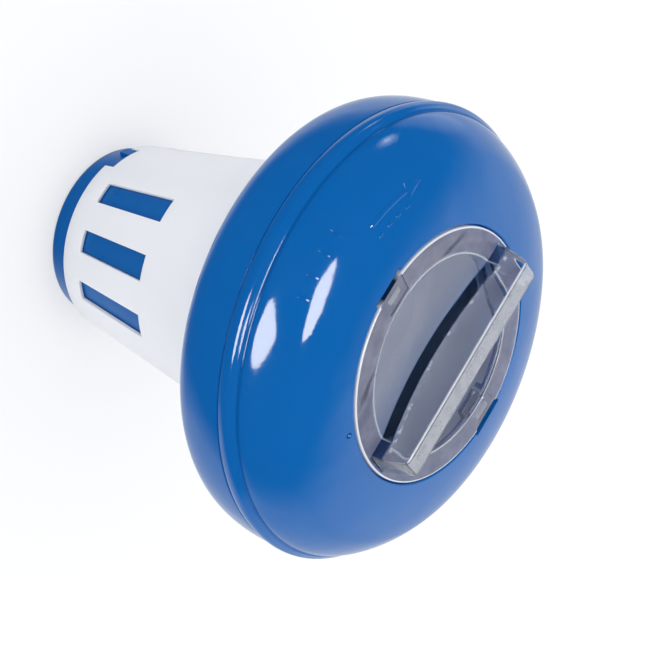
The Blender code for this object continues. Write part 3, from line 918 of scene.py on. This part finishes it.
# ------------------------------------------------------------------------ lid
def lid():
    def dish(r, drop=0.0):
        return Z_LID_RING - DISH_DEPTH * (1 - (r / R_DISH) ** 2) - drop

    rings = [R_DISH * i / 30 for i in range(31)]
    top = [(r, dish(r)) for r in rings]
    top[-1] = (R_DISH - 0.15, dish(R_DISH - 0.15))
    rim = [(R_DISH + 0.25, Z_LID_RING), (39.0, Z_LID_RING), (42.0, Z_LID_RING), (44.6, Z_LID_RING)]
    rim += bezier((45.0, Z_LID_RING), (45.4, Z_LID_RING), (R_LID, Z_LID_RING - 0.2), (R_LID, Z_LID_RING - 0.6), 6)
    rim += [(R_LID, 155.4), (R_LID, 154.0), (R_LID - 0.1, 153.72), (R_LID - 0.35, FLANGE_UNDER)]
    skirt = [
        (R_SKIRT + 0.3, FLANGE_UNDER),
        (R_SKIRT, FLANGE_UNDER - 0.3),
        (R_SKIRT, 150.0),
        (R_SKIRT, Z_SKIRT_END + 0.5),
        (R_SKIRT - 0.15, Z_SKIRT_END + 0.15),
        (R_SKIRT - 0.5, Z_SKIRT_END),
        (0.0, Z_SKIRT_END),
    ]
    body = turned("lid_clear", top + rim + skirt, STEPS, closed=False)

    def bar(bm):
        corner = 2.6
        half_top, half_foot = BAR_HALF_TOP, BAR_HALF_FOOT
        outline = [(-half_foot, 155.0)]
        left = bezier((-half_top - 0.45, Z_BAR_TOP - corner), (-half_top - 0.1, Z_BAR_TOP - 1.0), (-half_top + 0.9, Z_BAR_TOP), (-half_top + corner, Z_BAR_TOP), 7)
        right = [(-y, z) for y, z in left][::-1]
        outline += left + right + [(half_foot, 155.0)]
        outline += [
            (R_DISH - 1.0, 155.0),
            (R_DISH - 1.0, 147.0),
            (-R_DISH + 1.0, 147.0),
            (-R_DISH + 1.0, 155.0),
        ]
        half = BAR_THICK / 2
        face = bm.faces.new([bm.verts.new((-half * MM, y * MM, z * MM)) for y, z in outline])
        moved = bmesh.ops.extrude_face_region(bm, geom=[face])["geom"]
        bmesh.ops.translate(bm, vec=(BAR_THICK * MM, 0, 0), verts=[v for v in moved if isinstance(v, bmesh.types.BMVert)])
        for v in bm.verts:  # moulding draft: a little thicker towards its foot
            v.co.x *= 1.0 + 0.055 * (Z_BAR_TOP - v.co.z / MM) / half
        bmesh.ops.recalc_face_normals(bm, faces=bm.faces)
        edges = [
            e
            for e in bm.edges
            if e.verts[0].co.x * e.verts[1].co.x > 0
            and min(v.co.z for v in e.verts) > 154.9 * MM
            and max(v.co.z for v in e.verts) > 156.0 * MM
        ]
        bmesh.ops.bevel(bm, geom=edges, offset=0.6 * MM, offset_type="OFFSET", segments=4, profile=0.5, affect="EDGES")

    handle = tool("handle_bar", bar)

    def gate(bm):
        made = bmesh.ops.create_cone(bm, cap_ends=True, segments=32, radius1=1.5 * MM, radius2=1.5 * MM, depth=4 * MM)["verts"]
        for v in made:
            v.co += Vector((-(BAR_THICK / 2 - 0.2) * MM, -3.55 * MM, (Z_BAR_TOP + 1.4) * MM))

    boolean(handle, tool("handle_gate_mark", gate), "DIFFERENCE")
    boolean(body, handle, "UNION")
    hollow = [(r, dish(r, LID_PLATE)) for r in rings] + [
        (R_SKIRT - SKIRT_WALL, dish(R_DISH, LID_PLATE)),
        (R_SKIRT - SKIRT_WALL, Z_SKIRT_END - 2.0),
        (0.0, Z_SKIRT_END - 2.0),
    ]
    hollow = turned("lid_hollow", hollow, STEPS, closed=False, where=tools)
    hollow.hide_render = True
    boolean(body, hollow, "DIFFERENCE")

    def lugs(bm):
        for deg in (0.0, 180.0):
            wedge(bm, deg, LUG_HALF, R_SKIRT - 1.0, R_LUG, *Z_LUG)

    boolean(body, tool("lid_lugs", lugs), "UNION")

    def gaps(bm):
        for deg in (0.0, 180.0):
            wedge(bm, deg, NOTCH_HALF - 0.8, R_DISH + 1.0, 50.0, Z_LID_RING - 0.5, Z_LID_RING + 2)

    boolean(body, tool("lug_recesses", gaps), "DIFFERENCE")

    def windows(bm):
        for deg in (0.0, 180.0):
            wedge(bm, deg, 4.6, 39.9, 42.6, FLANGE_UNDER - 1, Z_LID_RING + 1)

    boolean(body, tool("lug_windows", windows), "DIFFERENCE")

    def flats(bm):
        for deg in (0.0, 180.0):
            wedge(bm, deg, NOTCH_HALF - 0.8, R_LID - 0.9, 50.0, FLANGE_UNDER - 2, Z_LID_RING + 2)

    boolean(body, tool("rim_flats", flats), "DIFFERENCE")
    baked(body)
    shade(body, 30.0)
    body.data.materials.clear()
    body.data.materials.append(clear_mat.material)
    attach(body, "lid")
    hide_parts("lid")
    return body


upper_shell()
turn_marks()
lower_shell()
basket()
cup()
gasket()
lid()
for guide in list(tools.objects):
    bpy.data.objects.remove(guide, do_unlink=True)
bpy.data.collections.remove(tools)

# ---------------------------------------------------------------------- camera
camera = bpy.data.objects.new("camera", bpy.data.cameras.new("camera"))
scene.collection.objects.link(camera)
camera.data.sensor_width = 36.0
camera.data.lens = 2200.0 / 650.0 * 36.0
camera.data.clip_start, camera.data.clip_end = 0.05, 50.0
right = Vector((-0.39819349, -0.50616406, 0.76500973))
up = Vector((0.47898173, -0.82598541, -0.29719455))
back = Vector((0.78231608, 0.24808475, 0.57134535))
turn = Matrix((right, up, back)).transposed().to_4x4()
camera.matrix_world = Matrix.Translation((0.603602, 0.196099, 0.549068)) @ turn
scene.camera = camera


def direction(r, u, b):
    """A direction given along the camera's right, up and back at rest."""
    return (right * r + up * u + back * b).normalized()


# ---------------------------------------------------------------------- lights
middle = Vector((0.0, 0.0, 0.110))


def panel(name, way, distance, across, radiance, tint=(1, 1, 1), seen_in="both"):
    """A round softbox whose surface has the given radiance, facing the object.

    seen_in is "gloss" for its mirror image alone, "matt" for its light alone.
    """
    lamp = bpy.data.lights.new(name, "AREA")
    lamp.shape = "DISK"
    lamp.size = across
    lamp.energy = radiance * math.pi * math.pi / 4 * across * across
    lamp.color = tint
    obj = bpy.data.objects.new(name, lamp)
    scene.collection.objects.link(obj)
    obj.location = middle + way * distance
    obj.rotation_mode = "QUATERNION"
    obj.rotation_quaternion = way.to_track_quat("Z", "Y")
    if seen_in == "gloss":
        obj.visible_diffuse = False
    if seen_in == "matt":
        obj.visible_glossy = False
    return obj


LEFT, RIGHT, TOP = direction(-0.305, -0.235, 0.923), direction(0.632, -0.208, 0.746), direction(0.455, 0.885, 0.10)
panel("softbox_left", LEFT, 1.6, 0.85, 16.5, (1.0, 0.955, 0.85), seen_in="gloss")
panel("softbox_right", RIGHT, 1.6, 0.69, 16.5, (1.0, 0.955, 0.85), seen_in="gloss")
panel("softbox_top", TOP, 1.6, 0.38, 1.2, seen_in="gloss")
panel("softbox_top_middle", TOP, 1.59, 0.25, 1.5, seen_in="gloss")
panel("softbox_top_core", TOP, 1.58, 0.12, 3.0, seen_in="gloss")
panel("softbox_left_light", LEFT, 1.6, 1.0, 1.5, seen_in="matt")
panel("softbox_right_light", RIGHT, 1.6, 1.0, 1.5, seen_in="matt")

# ----------------------------------------------------------------------- floor
bm = bmesh.new()
bmesh.ops.create_circle(bm, cap_ends=True, segments=128, radius=12.0)
floor = new_object("studio_floor", bm)
floor.location.z = -0.0004
t = Tree("studio_floor")
t.shader.inputs["Base Color"].default_value = (0.42, 0.42, 0.425, 1)
t.shader.inputs["Roughness"].default_value = 0.9
t.shader.inputs["Specular IOR Level"].default_value = 0.0
t.shader.inputs["Emission Color"].default_value = (1, 1, 1, 1)
t.shader.inputs["Emission Strength"].default_value = 0.57
bounce = t.node("ShaderNodeBsdfDiffuse")
bounce.inputs["Color"].default_value = (0.80, 0.81, 0.83, 1)
seen = t.node("ShaderNodeMixShader")
t.link(t.node("ShaderNodeLightPath").outputs["Is Camera Ray"], seen.inputs[0])
t.link(bounce.outputs[0], seen.inputs[1])
t.link(t.shader.outputs[0], seen.inputs[2])
t.link(seen.outputs[0], t.output.inputs["Surface"])
floor.data.materials.append(t.material)
floor.visible_glossy = False

# ----------------------------------------------------------------------- world
world = bpy.data.worlds.new("studio")
scene.world = world
world.use_nodes = True
nt = world.node_tree
nt.nodes.clear()
out = nt.nodes.new("ShaderNodeOutputWorld")
where = nt.nodes.new("ShaderNodeTexCoord").outputs["Generated"]


def lobe(way, inner, outer_angle):
    """1 within inner degrees of way, falling to 0 at outer_angle degrees."""
    dot = nt.nodes.new("ShaderNodeVectorMath")
    dot.operation = "DOT_PRODUCT"
    nt.links.new(where, dot.inputs[0])
    dot.inputs[1].default_value = way
    ramp = nt.nodes.new("ShaderNodeMapRange")
    ramp.interpolation_type = "SMOOTHSTEP"
    ramp.inputs["From Min"].default_value = math.cos(math.radians(outer_angle))
    ramp.inputs["From Max"].default_value = math.cos(math.radians(inner))
    nt.links.new(dot.outputs["Value"], ramp.inputs["Value"])
    return ramp.outputs["Result"]


def times(value, factor):
    made = nt.nodes.new("ShaderNodeMath")
    made.operation = "MULTIPLY"
    nt.links.new(value, made.inputs[0])
    made.inputs[1].default_value = factor
    return made.outputs[0]


def plus(a, b):
    made = nt.nodes.new("ShaderNodeMath")
    made.operation = "ADD"
    nt.links.new(a, made.inputs[0])
    if isinstance(b, float):
        made.inputs[1].default_value = b
    else:
        nt.links.new(b, made.inputs[1])
    return made.outputs[0]


def beyond(way, start, full):
    """0 where the direction's share along way is under start, 1 above full."""
    dot = nt.nodes.new("ShaderNodeVectorMath")
    dot.operation = "DOT_PRODUCT"
    nt.links.new(where, dot.inputs[0])
    dot.inputs[1].default_value = way
    ramp = nt.nodes.new("ShaderNodeMapRange")
    ramp.interpolation_type = "SMOOTHSTEP"
    ramp.inputs["From Min"].default_value = start
    ramp.inputs["From Max"].default_value = full
    nt.links.new(dot.outputs["Value"], ramp.inputs["Value"])
    return ramp.outputs["Result"]


backdrop = nt.nodes.new("ShaderNodeMath")
backdrop.operation = "MINIMUM"
nt.links.new(beyond(direction(0.12, -0.28, -0.95), 0.15, 0.62), backdrop.inputs[0])
backdrop.inputs[1].default_value = 0.77
backdrop = backdrop.outputs[0]
shade_left = nt.nodes.new("ShaderNodeMath")
shade_left.operation = "SUBTRACT"
shade_left.inputs[0].default_value = 1.0
nt.links.new(times(lobe(direction(-0.90, 0.12, -0.42), 6, 30), 0.9), shade_left.inputs[1])
backed = nt.nodes.new("ShaderNodeMath")
backed.operation = "MULTIPLY"
nt.links.new(backdrop, backed.inputs[0])
nt.links.new(shade_left.outputs[0], backed.inputs[1])
glow = plus(plus(backed.outputs[0], times(lobe(direction(0.75, -0.25, -0.61), 5, 32), 0.1)), 0.055)
glow = plus(glow, times(lobe(direction(0.44, 0.77, -0.47), 4, 20), 0.85))
glow = plus(glow, times(lobe(direction(0.70, -0.62, -0.35), 4, 24), 0.18))
mirror = nt.nodes.new("ShaderNodeBackground")
nt.links.new(glow, mirror.inputs["Strength"])
mirror.inputs["Color"].default_value = (0.93, 0.96, 1.0, 1)
fill = nt.nodes.new("ShaderNodeBackground")
fill.inputs["Color"].default_value = (0.95, 0.97, 1.0, 1)
fill.inputs["Strength"].default_value = 1.08
paper = nt.nodes.new("ShaderNodeBackground")
paper.inputs["Color"].default_value = (1, 1, 1, 1)
paper.inputs["Strength"].default_value = 1.0
through = nt.nodes.new("ShaderNodeBackground")
room = nt.nodes.new("ShaderNodeMix")
room.data_type = "RGBA"
nt.links.new(beyond(direction(0.12, -0.21, -0.97), 0.0, 0.6), room.inputs[0])
room.inputs[6].default_value = (0.002, 0.035, 0.28, 1)
room.inputs[7].default_value = (0.62, 0.66, 0.76, 1)
nt.links.new(room.outputs[2], through.inputs["Color"])
path = nt.nodes.new("ShaderNodeLightPath")
inside = nt.nodes.new("ShaderNodeMixShader")
nt.links.new(path.outputs["Is Transmission Ray"], inside.inputs[0])
nt.links.new(mirror.outputs[0], inside.inputs[1])
nt.links.new(through.outputs[0], inside.inputs[2])
one = nt.nodes.new("ShaderNodeMixShader")
nt.links.new(path.outputs["Is Glossy Ray"], one.inputs[0])
nt.links.new(fill.outputs[0], one.inputs[1])
nt.links.new(inside.outputs[0], one.inputs[2])
two = nt.nodes.new("ShaderNodeMixShader")
nt.links.new(path.outputs["Is Camera Ray"], two.inputs[0])
nt.links.new(one.outputs[0], two.inputs[1])
nt.links.new(paper.outputs[0], two.inputs[2])
nt.links.new(two.outputs[0], out.inputs["Surface"])

scene.view_settings.view_transform = "Standard"
